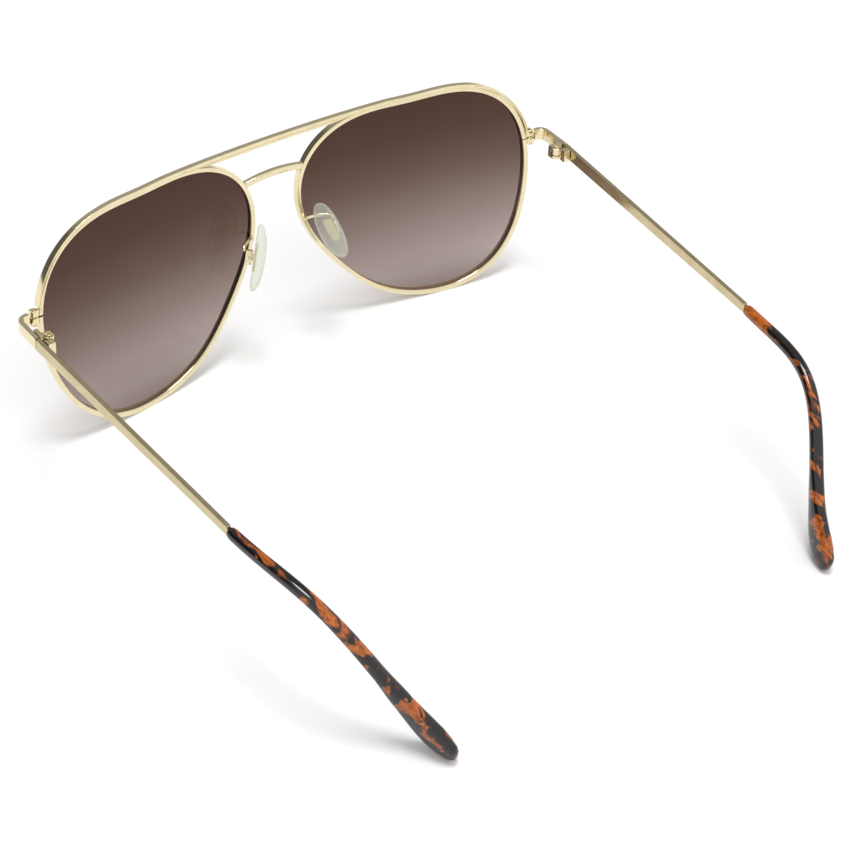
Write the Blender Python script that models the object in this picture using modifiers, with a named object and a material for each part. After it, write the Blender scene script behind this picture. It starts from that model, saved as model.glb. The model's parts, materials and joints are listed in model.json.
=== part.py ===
"""Aviator sunglasses: wire rims, brow bar, two folding temples and rocking nose pads.

Lengths are in millimetres and are turned into metres when a mesh is finished.
The wearer's left is +X, the front faces -Y and the glasses stand on the table at z = 0.
Every piece is drawn for the left side; the right side is its mirror image.
"""
import math

import bmesh
import bpy
from mathutils import Matrix, Quaternion, Vector

MM = 0.001

# Gaps between pieces
CLEAR = 0.12
SCREW_CLEAR = 0.08

# Lens outline: a circle with harmonics (order, cosine share, sine share)
LENS_RADIUS = 27.3
LENS_HARMONICS = (
    (2, 0.0916, -0.0482),
    (3, -0.0244, 0.0602),
    (4, -0.0185, -0.0115),
    (5, -0.0017, 0.0068),
)
LENS_GAP = 14.0
LENS_THICKNESS = 1.2
LENS_FORWARD = 0.2
LENS_SETBACK = 0.12
LENS_EDGE = 0.3
LENS_EDGE_HALF = 0.32
LENS_RINGS = (0.12, 0.45, 0.8)
OUTLINE_STEPS = 72

# Shape of the front seen from above and from the side
FACE_WRAP = 0.0019
FACE_TILT = -0.1936
FACE_BOW = 0.0037

# Rim wire
RIM_WIDTH = 1.1
RIM_DEPTH = 1.7
RIM_REAR = 0.2
GROOVE_DEPTH = 0.55
GROOVE_HALF = 0.45
GROOVE_FLOOR_HALF = 0.2
EDGE_CUT = 0.12

# Closing block at the outer side of each rim
LOCK_ANGLE = math.radians(12.5)
LOCK_SEAM = 0.4
LOCK_WIDTH = 1.8
LOCK_DEPTH = 1.7
LOCK_HALF_HEIGHT = 1.5
LOCK_SCREW_RADIUS = 0.42
LOCK_SCREW_SHORT = 0.15
LOCK_HEAD_RADIUS = 0.72
LOCK_HEAD_HEIGHT = 0.4

# Brow bar
BROW_HEIGHT = 0.95
BROW_MIDDLE_HEIGHT = 1.65
BROW_END_HEIGHT = 0.45
BROW_DEPTH = 1.3
BROW_END_DEPTH = 2.2
BROW_PROUD = 0.6
BROW_END_ANGLE = math.radians(16.6)
BROW_LEAVE_ANGLE = math.radians(109)
BROW_TAPER = 0.45
BROW_SAG = 0.4
BROW_RIM_STEPS = 30
BROW_BRIDGE_STEPS = 8

# Bridge between the rims
BRIDGE_ANGLE = math.radians(155.5)
BRIDGE_HEIGHT = 1.6
BRIDGE_DEPTH = 1.5
BRIDGE_ARCH = 0.9
BRIDGE_DEEP = -0.6
BRIDGE_STEPS = 14

# End piece, a bent strip
STRIP_THICKNESS = 1.1
STRIP_HEIGHT = 3.0
END_OUT = 2.53
END_CORNER = 1.9
END_BACK = 8.6
CORNER_STEPS = 8

# Hinge
HINGE_DROP = -0.2
HINGE_INSET = 2.55
BARREL_RADIUS = 1.35
BARREL_HEIGHT = 3.0
TONGUE_HEIGHT = 1.16
TONGUE_RADIUS = 1.2
LEAF_LENGTH = 3.2
LEAF_THICKNESS = 0.95
HINGE_SCREW_RADIUS = 0.52
HINGE_HEAD_RADIUS = 0.85
HINGE_HEAD_HEIGHT = 0.35
HINGE_SCREW_PROUD = 0.1
REAR_LEAF_LENGTH = 1.7
TONGUE_ROOT = 0.5
TEMPLE_LEAF_RELIEF = 0.08
TEMPLE_LEAF_TAPER = 0.14

# Temple and tip
TEMPLE_LENGTH = 70.5
TEMPLE_INSET = 3.45
TEMPLE_DROP = 2.9
TEMPLE_END_HEIGHT = 2.3
TEMPLE_SHOULDER = 0.6
CORE_START = 0.3
TIP_LENGTH = 53.1
TIP_INSET = 18.7
TIP_END_ABOVE_TABLE = 2.1
# Control points of the tip's path: shares of its inset, length and drop
TIP_PATH = (
    (0.0, 0.0, 0.0),
    (0.102, 0.42, 0.061),
    (0.139, 0.599, -0.225),
    (0.786, 0.719, 0.915),
    (1.0, 1.0, 1.0),
)
# Tip sections: share of the path, thickness, height
TIP_SECTIONS = (
    (0.0, 2.0, 2.1),
    (0.012, 2.5, 2.5),
    (0.1, 2.6, 2.6),
    (0.42, 2.8, 2.6),
    (0.66, 3.1, 2.9),
    (0.78, 3.3, 4.5),
    (0.86, 3.4, 6.6),
    (0.905, 3.4, 7.3),
    (0.945, 3.3, 6.5),
    (0.985, 2.5, 4.5),
    (1.0, 1.2, 2.2),
)
TIP_LEAN = math.radians(11)
TIP_LEAN_FROM = 0.66
TIP_STEPS = 26
TIP_POINTS = 16
CORE_SHARE = 0.62
CORE_THICKNESS = 0.9
CORE_HEIGHT = 1.2
CORE_STEPS = 14
BORE_EXTRA = 0.02

# Nose pads
PAD_CENTRE = (3.2, 7.0, -0.1)
PAD_LONG_AXIS = (0.31, 0.24, -0.92)
PAD_FACE = (-0.79, 0.615, -0.105)
PAD_LENGTH = 16.0
PAD_WIDTH = 5.6
PAD_THICKNESS = 1.9
PAD_BOW = 0.9
PAD_POINTS = 32
PAD_POWER = 2.3
POCKET_POWER = 5.0
PLATE_POINTS = 24
# Pad layers from its back to its nose face: height share, outline share
PAD_LAYERS = (
    (0.0, 0.88),
    (0.14, 0.97),
    (0.42, 1.0),
    (0.7, 0.94),
    (0.88, 0.8),
    (0.97, 0.55),
    (1.0, 0.25),
)
PAD_BACK = -1.0
PLATE_LENGTH = 6.2
PLATE_WIDTH = 2.3
PLATE_THICKNESS = 0.45
POCKET_DEPTH = 0.7
STUD_WIDTH = 1.0
STUD_LENGTH = 1.4
PAD_AXIS_BACK = 1.8
PAD_SCREW_RADIUS = 0.27
PAD_HEAD_RADIUS = 0.55
PAD_HEAD_HEIGHT = 0.3
BOX_WALL = 0.4
BOX_LENGTH = 3.2
BOX_FRONT_GAP = 0.3
STUD_BACK = 0.45

# Wire from the rim to the pad's box
ARM_RADIUS = 0.42
PAD_ARM_ANGLE = math.radians(178.5)
ARM_SOLDER = 0.05
ARM_REACH = (0.5, 1.6, 1.6)
ARM_PULL = 1.2
ARM_LIFT = 1.3
ARM_END_GAP = 0.28
ARM_STEPS = 14

SCREW_STEPS = 24
MERGE = 0.001
BEVEL_SEGMENTS = 2
BEVEL_ANGLE = math.radians(40)
SLOT_WIDTH = 0.26
SLOT_DEPTH = 0.18
SLOT_REACH = 3.0
HOLE_REACH = 5.0
PAD_HOLE_REACH = 2.0

UP = Vector((0.0, 0.0, 1.0))


# ---------------------------------------------------------------- scene
def clear_scene():
    """Remove every object the file opened with."""
    for item in list(bpy.data.objects):
        bpy.data.objects.remove(item, do_unlink=True)


def new_collection(name, hidden):
    """Collection for the parts or for the cutters."""
    group = bpy.data.collections.new(name)
    bpy.context.scene.collection.children.link(group)
    group.hide_render = hidden
    return group


def new_material(name, colour, metallic, roughness, alpha=1.0):
    """Principled material with one colour."""
    material = bpy.data.materials.new(name)
    material.use_nodes = True
    shader = material.node_tree.nodes["Principled BSDF"]
    shader.inputs["Base Color"].default_value = (*colour, 1.0)
    shader.inputs["Metallic"].default_value = metallic
    shader.inputs["Roughness"].default_value = roughness
    shader.inputs["Alpha"].default_value = alpha
    return material


# ---------------------------------------------------------------- front's shape
def outline_radius(angle):
    """Lens outline radius at an angle from the wearer's outer side."""
    share = 1.0
    for order, cosine, sine in LENS_HARMONICS:
        share += cosine * math.cos(order * angle) + sine * math.sin(order * angle)
    return LENS_RADIUS * share


def outline_offset(angle):
    """Point of the lens outline from the lens centre, in x and z."""
    radius = outline_radius(angle)
    return Vector((radius * math.cos(angle), radius * math.sin(angle)))


def outline_extremes():
    """Innermost x and lowest z of the outline from the lens centre."""
    points = [outline_offset(math.tau * i / 360) for i in range(360)]
    return min(p.x for p in points), min(p.y for p in points)


INNER_X, LOWEST_Z = outline_extremes()
LENS_X = LENS_GAP / 2 - INNER_X
LENS_Z = RIM_WIDTH - LOWEST_Z


def edge_frame(angle):
    """Outline point with its outward normal and its tangent, in x and z."""
    step = 0.01
    point = outline_offset(angle)
    tangent = (outline_offset(angle + step) - outline_offset(angle - step)).normalized()
    normal = Vector((tangent.y, -tangent.x))
    return point + Vector((LENS_X, LENS_Z)), normal, tangent


def face_y(x, z):
    """Depth of the lens surface, which wraps round the face and leans back."""
    rise = z - LENS_Z
    return FACE_WRAP * x * x + FACE_TILT * rise + FACE_BOW * rise * rise


def front_point(flat, depth=0.0):
    """Point of the front from x and z, a depth behind the lens surface."""
    return Vector((flat.x, face_y(flat.x, flat.y) + depth, flat.y))


def lock_frame():
    """Frame of the closing block beside the rim: x outwards, y backwards, z along its screw."""
    flat, normal, tangent = edge_frame(LOCK_ANGLE)
    middle = front_point(flat)
    along = (front_point(flat + tangent) - middle).normalized()
    out = front_point(flat + normal) - middle
    out = (out - along * out.dot(along)).normalized()
    back = along.cross(out)
    centre = middle + out * (RIM_WIDTH + CLEAR + LOCK_WIDTH / 2) + back * (RIM_REAR - RIM_DEPTH / 2)
    return axes_frame(centre, out, back, along)


def lock_reach():
    """Outermost x of the closing block."""
    half = Vector((LOCK_WIDTH, LOCK_DEPTH, LOCK_SEAM + 2 * LOCK_HALF_HEIGHT)) / 2
    corners = [LOCK_FRAME @ Vector((half.x, y, z)) for y in (-half.y, half.y) for z in (-half.z, half.z)]
    return max(corner.x for corner in corners)


def axes_frame(origin, x_axis, y_axis, z_axis):
    """Matrix with the given axes and origin."""
    frame = Matrix((x_axis, y_axis, z_axis)).transposed().to_4x4()
    frame.translation = origin
    return frame


LENS_MIDDLE = RIM_REAR - RIM_DEPTH / 2 - LENS_FORWARD
LOCK_POINT = edge_frame(LOCK_ANGLE)[0]
LOCK_MIDDLE = front_point(LOCK_POINT)
LOCK_FRAME = lock_frame()
STRIP_START = lock_reach() + CLEAR
STRIP_X = STRIP_START + END_OUT
HINGE_Z = LOCK_MIDDLE.z - HINGE_DROP
HINGE_AXIS = Vector((STRIP_X - HINGE_INSET, LOCK_MIDDLE.y + END_BACK + CLEAR, HINGE_Z))
TEMPLE_START = Vector((STRIP_X, HINGE_AXIS.y + CLEAR, HINGE_Z))
JUNCTION = TEMPLE_START + Vector((-TEMPLE_INSET, TEMPLE_LENGTH, -TEMPLE_DROP))
TIP_DROP = JUNCTION.z - TIP_END_ABOVE_TABLE

PAD_LONG = Vector(PAD_LONG_AXIS).normalized()
PAD_OUT = Vector(PAD_FACE)
PAD_OUT = (PAD_OUT - PAD_LONG * PAD_OUT.dot(PAD_LONG)).normalized()
PAD_ACROSS = PAD_OUT.cross(PAD_LONG)
PAD_MIDDLE = Vector((PAD_CENTRE[0] + LENS_GAP / 2, PAD_CENTRE[1], PAD_CENTRE[2] + LENS_Z))
PAD_AXIS = PAD_MIDDLE - PAD_OUT * PAD_AXIS_BACK


# ---------------------------------------------------------------- mesh helpers
def loft(bm, sections):
    """Closed body through a row of sections, capped at both ends."""
    rings = [[bm.verts.new(point) for point in section] for section in sections]
    for ring, following in zip(rings, rings[1:]):
        for i in range(len(ring)):
            bm.faces.new((ring[i - 1], ring[i], following[i], following[i - 1]))
    bm.faces.new(rings[0])
    bm.faces.new(rings[-1])


def chamfered(width, height, chamfer):
    """Rectangle with cut corners, as (across, up) pairs."""
    half, tall = width / 2, height / 2
    return (
        (half, tall - chamfer), (half - chamfer, tall),
        (chamfer - half, tall), (-half, tall - chamfer),
        (-half, chamfer - tall), (chamfer - half, -tall),
        (half - chamfer, -tall), (half, chamfer - tall),
    )


def round_section(width, height, count, power=2.4):
    """Rounded section, fuller than an ellipse, as (across, up) pairs."""
    pairs = []
    for i in range(count):
        angle = math.tau * i / count
        c, s = math.cos(angle), math.sin(angle)
        across = math.copysign(abs(c) ** (2 / power), c) * width / 2
        up = math.copysign(abs(s) ** (2 / power), s) * height / 2
        pairs.append((across, up))
    return pairs


def placed(pairs, point, across, up):
    """Section points from (across, up) pairs at a point."""
    return [point + across * a + up * b for a, b in pairs]


def box(bm, size, frame):
    """Box of a size about the frame's origin."""
    bmesh.ops.create_cube(bm, size=1.0, matrix=frame @ Matrix.Diagonal((*size, 1.0)))


def filled_outline(plan):
    """Two-dimensional curve with one closed outline."""
    curve = bpy.data.curves.new("outline", "CURVE")
    curve.dimensions = "2D"
    curve.fill_mode = "BOTH"
    spline = curve.splines.new("POLY")
    spline.points.add(len(plan) - 1)
    for point, (x, y) in zip(spline.points, plan):
        point.co = (x, y, 0.0, 1.0)
    spline.use_cyclic_u = True
    return curve


def prism(bm, plan, low, high, frame):
    """Flat piece over a plan of (x, y) pairs, between two heights of the frame."""
    curve = filled_outline(plan)
    curve.extrude = (high - low) / 2
    item = bpy.data.objects.new("outline", curve)
    mesh = bpy.data.meshes.new_from_object(item)
    bm.from_mesh(mesh)
    bmesh.ops.remove_doubles(bm, verts=bm.verts, dist=MERGE)
    bmesh.ops.transform(bm, matrix=frame @ Matrix.Translation((0, 0, (low + high) / 2)), verts=bm.verts)
    bpy.data.objects.remove(item)
    bpy.data.curves.remove(curve)
    bpy.data.meshes.remove(mesh)


# ---------------------------------------------------------------- objects
def finish(bm, name, side, material, origin, parent, smooth=True):
    """Turn a left-hand mesh into a named object on its side, with its origin in place."""
    mirror = Matrix.Diagonal((side, 1.0, 1.0, 1.0))
    pivot = mirror @ Vector(origin)
    bmesh.ops.transform(bm, matrix=mirror, verts=bm.verts)
    bmesh.ops.translate(bm, verts=bm.verts, vec=-pivot)
    bmesh.ops.scale(bm, vec=(MM, MM, MM), verts=bm.verts)
    bmesh.ops.recalc_face_normals(bm, faces=bm.faces)
    mesh = bpy.data.meshes.new(name)
    bm.to_mesh(mesh)
    bm.free()
    mesh.materials.append(material)
    if smooth:
        mesh.polygons.foreach_set("use_smooth", [True] * len(mesh.polygons))
    item = bpy.data.objects.new(name, mesh)
    item.location = pivot * MM
    PARTS.objects.link(item)
    if parent is not None:
        item.parent = parent
        item.location = pivot * MM - parent.location
    return item


def new_empty(name, origin, parent=None):
    """Empty that carries a group of pieces."""
    item = bpy.data.objects.new(name, None)
    item.empty_display_size = 0.005
    item.location = Vector(origin) * MM
    PARTS.objects.link(item)
    if parent is not None:
        item.parent = parent
        item.location = Vector(origin) * MM - parent.location
    return item


def combine(item, name, operation, build):
    """Cut a shape out of a piece, or join it on, with an exact Boolean and a hidden cutter."""
    bm = bmesh.new()
    build(bm)
    side = -1.0 if item.name.startswith("right") else 1.0
    cutter = finish(bm, name, side, item.data.materials[0], (0, 0, 0), item.parent, smooth=False)
    PARTS.objects.unlink(cutter)
    CUTTERS.objects.link(cutter)
    cutter.display_type = "WIRE"
    cutter.hide_render = True
    modifier = item.modifiers.new(name, "BOOLEAN")
    modifier.operation = operation
    modifier.solver = "EXACT"
    modifier.object = cutter


def soften(item):
    """Round the sharp edges of a flat piece."""
    modifier = item.modifiers.new("soft_edges", "BEVEL")
    modifier.width = EDGE_CUT * MM
    modifier.segments = BEVEL_SEGMENTS
    modifier.limit_method = "ANGLE"
    modifier.angle_limit = BEVEL_ANGLE


# ---------------------------------------------------------------- front pieces
def build_lens(name, side):
    """Lens with parallel faces and a bevelled edge that sits in the rim's groove."""
    half = LENS_THICKNESS / 2
    layers = [(share, 0.0, -half) for share in LENS_RINGS]
    layers += [
        (1.0, -LENS_SETBACK, -half), (1.0, -LENS_SETBACK, -LENS_EDGE_HALF), (1.0, LENS_EDGE, 0.0),
        (1.0, -LENS_SETBACK, LENS_EDGE_HALF), (1.0, -LENS_SETBACK, half),
    ]
    layers += [(share, 0.0, half) for share in reversed(LENS_RINGS)]
    centre = Vector((LENS_X, LENS_Z))
    sections = []
    for share, grow, depth in layers:
        section = []
        for i in range(OUTLINE_STEPS):
            point, normal, _ = edge_frame(math.tau * i / OUTLINE_STEPS)
            flat = centre + (point + normal * grow - centre) * share
            section.append(front_point(flat, LENS_MIDDLE + depth))
        sections.append(section)
    bm = bmesh.new()
    loft(bm, sections)
    finish(bm, name, side, TINTED, front_point(centre), FRONT)


def build_rim(name, side):
    """Grooved rim wire, open at the closing block."""
    front = RIM_REAR - RIM_DEPTH
    profile = (
        (0.0, LENS_MIDDLE + GROOVE_HALF), (GROOVE_DEPTH, LENS_MIDDLE + GROOVE_FLOOR_HALF),
        (GROOVE_DEPTH, LENS_MIDDLE - GROOVE_FLOOR_HALF), (0.0, LENS_MIDDLE - GROOVE_HALF),
        (0.0, front + EDGE_CUT), (EDGE_CUT, front), (RIM_WIDTH - EDGE_CUT, front),
        (RIM_WIDTH, front + EDGE_CUT), (RIM_WIDTH, RIM_REAR - EDGE_CUT),
        (RIM_WIDTH - EDGE_CUT, RIM_REAR), (EDGE_CUT, RIM_REAR), (0.0, RIM_REAR - EDGE_CUT),
    )
    opening = LOCK_SEAM / 2 / outline_radius(LOCK_ANGLE)
    start = LOCK_ANGLE + opening
    stretch = math.tau - 2 * opening
    sections = []
    for i in range(OUTLINE_STEPS + 1):
        point, normal, _ = edge_frame(start + stretch * i / OUTLINE_STEPS)
        sections.append([front_point(point + normal * out, depth) for out, depth in profile])
    bm = bmesh.new()
    loft(bm, sections)
    finish(bm, name, side, GOLD, front_point(Vector((LENS_X, LENS_Z))), FRONT)


def brow_half():
    """Brow bar stations of the left half: lower edge point, up direction, height and depth."""
    stations = []
    for i in range(BROW_RIM_STEPS + 1):
        share = i / BROW_RIM_STEPS
        angle = BROW_END_ANGLE + (BROW_LEAVE_ANGLE - BROW_END_ANGLE) * share
        point, normal, _ = edge_frame(angle)
        grow = min(1.0, share / BROW_TAPER)
        height = BROW_END_HEIGHT + (BROW_HEIGHT - BROW_END_HEIGHT) * grow
        deep = BROW_END_DEPTH + (BROW_DEPTH - BROW_END_DEPTH) * min(1.0, share * 2)
        stations.append((point + normal * (RIM_WIDTH + CLEAR), normal, height, deep))
    leave, normal, _, _ = stations[-1]
    top = leave + normal * BROW_HEIGHT
    for i in range(1, BROW_BRIDGE_STEPS + 1):
        share = i / BROW_BRIDGE_STEPS
        ease = math.sin(share * math.pi / 2)
        lean = normal.lerp(Vector((0, 1)), min(1.0, share * 2)).normalized()
        height = BROW_HEIGHT + (BROW_MIDDLE_HEIGHT - BROW_HEIGHT) * min(1.0, share * 2) ** 2
        flat = Vector((top.x * (1 - share), top.y - BROW_SAG * ease)) - lean * height
        stations.append((flat, lean, height, BROW_DEPTH))
    return stations


def build_brow_bar():
    """Brow bar that lies on both rims, from one end piece to the other."""
    back = RIM_REAR + BROW_PROUD
    sections = []
    half = brow_half()
    mirrored = [(Vector((-p.x, p.y)), Vector((-n.x, n.y)), h, d) for p, n, h, d in reversed(half[:-1])]
    for point, normal, height, deep in half + mirrored:
        section = []
        for across, up in chamfered(deep, height, EDGE_CUT):
            flat = point + normal * (up + height / 2)
            spot = front_point(Vector((abs(flat.x), flat.y)), back - deep / 2 + across)
            section.append(Vector((flat.x, spot.y, spot.z)))
        sections.append(section)
    bm = bmesh.new()
    loft(bm, sections)
    finish(bm, "brow_bar", 1.0, GOLD, (0, face_y(0, LENS_Z), LENS_Z), FRONT)


def build_bridge():
    """Short arched bar between the rims, its ends cut along the rims' edges."""
    point, normal, tangent = edge_frame(BRIDGE_ANGLE)
    start = front_point(point + normal * (RIM_WIDTH + CLEAR), BRIDGE_DEEP)
    slant = tangent.x / tangent.y
    edges = {}
    for rise in (-BRIDGE_HEIGHT / 2, BRIDGE_HEIGHT / 2):
        edge = []
        for i in range(BRIDGE_STEPS + 1):
            share = 1 - 2 * i / BRIDGE_STEPS
            reach = start.x + slant * rise
            edge.append((reach * share, start.z + rise + BRIDGE_ARCH * (1 - share * share)))
        edges[rise > 0] = edge
    plan = edges[True] + edges[False][::-1]
    frame = axes_frame(Vector((0, start.y, 0)), Vector((1, 0, 0)), UP, Vector((0, -1, 0)))
    bm = bmesh.new()
    prism(bm, plan, -BRIDGE_DEPTH / 2, BRIDGE_DEPTH / 2, frame)
    item = finish(bm, "bridge", 1.0, GOLD, (0, start.y, start.z + BRIDGE_ARCH), FRONT, smooth=False)
    soften(item)


def build_lock(prefix, side):
    """Two halves of the closing block and the screw that draws them together."""
    hole_radius = LOCK_SCREW_RADIUS + SCREW_CLEAR
    for half, direction in (("upper", 1), ("lower", -1)):
        bm = bmesh.new()
        middle = direction * (LOCK_SEAM + LOCK_HALF_HEIGHT) / 2
        place = LOCK_FRAME @ Matrix.Translation((0, 0, middle))
        box(bm, (LOCK_WIDTH, LOCK_DEPTH, LOCK_HALF_HEIGHT), place)
        name = f"{prefix}_lock_{half}"
        item = finish(bm, name, side, GOLD, place.translation, FRONT, smooth=False)
        soften(item)
        combine(item, f"{name}_hole", "DIFFERENCE", hole_cutter(hole_radius, LOCK_FRAME))
    top = LOCK_SEAM / 2 + LOCK_HALF_HEIGHT
    head = -top - CLEAR
    face = head - LOCK_HEAD_HEIGHT
    profile = (
        (LOCK_SCREW_RADIUS, top - LOCK_SCREW_SHORT), (LOCK_SCREW_RADIUS, head),
        (LOCK_HEAD_RADIUS, head), (LOCK_HEAD_RADIUS, face),
    )
    build_screw(f"{prefix}_lock_screw", side, profile, face, LOCK_FRAME)


def hole_cutter(radius, frame, reach=HOLE_REACH):
    """Builder of a round hole along the frame's z axis, as far as the reach both ways."""
    def build(bm):
        bmesh.ops.create_cone(
            bm, cap_ends=True, segments=SCREW_STEPS, radius1=radius, radius2=radius,
            depth=2 * reach, matrix=frame,
        )
    return build


def build_screw(name, side, profile, face, frame):
    """Slotted screw turned from (radius, height) pairs that run down its outer side."""
    mirror = Matrix.Diagonal((side, 1.0, 1.0, 1.0))
    ends = ((0.0, profile[0][1]), (0.0, profile[-1][1]))
    points = [ends[0], *profile, ends[1]]
    mesh = bpy.data.meshes.new(name)
    verts = [Vector((radius, 0.0, height)) * MM for radius, height in points]
    mesh.from_pydata(verts, [(i, i + 1) for i in range(len(points) - 1)], [])
    mesh.materials.append(SCREW_METAL)
    screw = bpy.data.objects.new(name, mesh)
    place = mirror @ frame @ mirror
    place.translation *= MM
    screw.matrix_basis = place
    screw.parent = FRONT
    PARTS.objects.link(screw)
    turn = screw.modifiers.new("turn", "SCREW")
    turn.steps = SCREW_STEPS
    turn.render_steps = SCREW_STEPS
    turn.use_merge_vertices = True
    turn.merge_threshold = MERGE * MM
    turn.use_smooth_shade = False

    def slot(bm):
        box(bm, (SLOT_REACH, SLOT_WIDTH, 2 * SLOT_DEPTH), frame @ Matrix.Translation((0, 0, face)))
    combine(screw, f"{name}_slot", "DIFFERENCE", slot)


def build_end_piece(name, side):
    """Bent strip that leaves the closing block, turns a corner and runs back to the hinge."""
    start = Vector((STRIP_START, LOCK_MIDDLE.y, HINGE_Z))
    half = STRIP_THICKNESS / 2
    middle = Vector((STRIP_X - END_CORNER - start.x, END_CORNER))
    outer = [(0.0, -half)]
    inner = [(0.0, half)]
    for radius, edge in ((END_CORNER + half, outer), (END_CORNER - half, inner)):
        edge += [(middle.x + x, middle.y + y) for x, y in arc(radius, -90, 0, CORNER_STEPS)]
    outer.append((STRIP_X - start.x + half, END_BACK))
    inner.append((STRIP_X - start.x - half, END_BACK))
    bm = bmesh.new()
    tall = STRIP_HEIGHT / 2
    prism(bm, outer + inner[::-1], -tall, tall, Matrix.Translation(start))
    item = finish(bm, name, side, GOLD, start, FRONT, smooth=False)
    soften(item)


def hinge_frame(height=0.0):
    """Frame on the hinge axis at a height from the hinge's middle."""
    return Matrix.Translation(HINGE_AXIS + UP * height)


def arc(radius, first, last, count=12):
    """Points of an arc about the axis, in x and y."""
    angles = [math.radians(first + (last - first) * i / count) for i in range(count + 1)]
    return [(radius * math.cos(a), radius * math.sin(a)) for a in angles]


def build_front_hinge(name, side):
    """Front leaf: a plate on the end piece and two barrels with a slot between them."""
    face = HINGE_INSET - STRIP_THICKNESS / 2 - CLEAR
    plate = face - LEAF_THICKNESS
    plan = [(face, -LEAF_LENGTH), (face, -CLEAR)]
    plan += arc(BARREL_RADIUS, 0, 180)
    plan += [(-BARREL_RADIUS, -BARREL_RADIUS), (plate, -BARREL_RADIUS), (plate, -LEAF_LENGTH)]
    half = BARREL_HEIGHT / 2
    bm = bmesh.new()
    prism(bm, plan, -half, half, hinge_frame())
    item = finish(bm, name, side, GOLD, HINGE_AXIS, FRONT, smooth=False)
    gap = TONGUE_HEIGHT / 2 + CLEAR
    reach = TONGUE_RADIUS + 2 * CLEAR
    combine(item, f"{name}_slot", "DIFFERENCE", hole_cutter(reach, hinge_frame(), gap))
    hole = hole_cutter(HINGE_SCREW_RADIUS + SCREW_CLEAR, hinge_frame())
    combine(item, f"{name}_hole", "DIFFERENCE", hole)


def build_hinge_screw(name, side):
    """Screw through the barrels, with its slotted head on top."""
    half = BARREL_HEIGHT / 2
    head = half + CLEAR / 2
    face = head + HINGE_HEAD_HEIGHT
    profile = (
        (HINGE_HEAD_RADIUS, face), (HINGE_HEAD_RADIUS, head),
        (HINGE_SCREW_RADIUS, head), (HINGE_SCREW_RADIUS, -half - HINGE_SCREW_PROUD),
    )
    build_screw(name, side, profile, face, hinge_frame())


# ---------------------------------------------------------------- temple pieces
def build_temple_hinge(name, side, parent):
    """Rear leaf: a block on the temple and one barrel between the front leaf's two."""
    face = HINGE_INSET - STRIP_THICKNESS / 2 - CLEAR - TEMPLE_LEAF_RELIEF
    near = BARREL_RADIUS + 2 * CLEAR
    far = near + REAR_LEAF_LENGTH
    half = BARREL_HEIGHT / 2
    middle = TONGUE_HEIGHT / 2
    block = [(0.0, near), (face, near), (face - TEMPLE_LEAF_TAPER, far), (0.0, far)]
    bm = bmesh.new()
    prism(bm, block, -half, half, hinge_frame())
    item = finish(bm, name, side, GOLD, HINGE_AXIS, parent, smooth=False)

    def tongue(bm):
        root = near + TONGUE_ROOT
        plan = arc(TONGUE_RADIUS, 90, 360) + [(TONGUE_RADIUS, root), (0.0, root)]
        prism(bm, plan, -middle, middle, hinge_frame())
    combine(item, f"{name}_tongue", "UNION", tongue)
    hole = hole_cutter(HINGE_SCREW_RADIUS + SCREW_CLEAR, hinge_frame())
    combine(item, f"{name}_hole", "DIFFERENCE", hole)


def tip_point(share):
    """Point of the tip's path, a Bezier curve through its control points."""
    order = len(TIP_PATH) - 1
    point = Vector((0.0, 0.0, 0.0))
    for i, (inset, back, down) in enumerate(TIP_PATH):
        weight = math.comb(order, i) * share ** i * (1 - share) ** (order - i)
        point += weight * Vector((-inset * TIP_INSET, back * TIP_LENGTH, -down * TIP_DROP))
    return JUNCTION + point


def tip_frame(share):
    """Path point with its sideways and upward directions, which lean out near the end."""
    step = 0.005
    tangent = (tip_point(min(1.0, share + step)) - tip_point(max(0.0, share - step))).normalized()
    across = tangent.cross(UP).normalized()
    lean = TIP_LEAN * min(1.0, max(0.0, (share - TIP_LEAN_FROM) / (1 - TIP_LEAN_FROM) * 2))
    across = Quaternion(tangent, lean) @ across
    return tip_point(share), across, across.cross(tangent)


def tip_size(share):
    """Thickness and height of the tip at a share of its path."""
    for low, high in zip(TIP_SECTIONS, TIP_SECTIONS[1:]):
        if share <= high[0]:
            part = (share - low[0]) / (high[0] - low[0])
            return low[1] + (high[1] - low[1]) * part, low[2] + (high[2] - low[2]) * part
    return TIP_SECTIONS[-1][1:]


def tip_shares():
    """Shares of the path where the tip has a section, closer together at its ends."""
    even = [i / TIP_STEPS for i in range(TIP_STEPS + 1)]
    return sorted(set(even + [row[0] for row in TIP_SECTIONS]))


def build_tip(name, side, parent):
    """Acetate tip: a rounded sleeve, bored from its mouth for the temple's core wire."""
    sections = []
    bore_end = CORE_SHARE + BORE_EXTRA
    shares = tip_shares()
    for share in reversed([s for s in shares if s < bore_end] + [bore_end]):
        point, across, up = tip_frame(share)
        pairs = round_section(CORE_THICKNESS + 3 * CLEAR, CORE_HEIGHT + 3 * CLEAR, TIP_POINTS)
        sections.append(placed(pairs, point, across, up))
    for share in shares:
        point, across, up = tip_frame(share)
        width, height = tip_size(share)
        sections.append(placed(round_section(width, height, TIP_POINTS), point, across, up))
    bm = bmesh.new()
    loft(bm, sections)
    finish(bm, name, side, TORTOISE, JUNCTION, parent)


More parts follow.
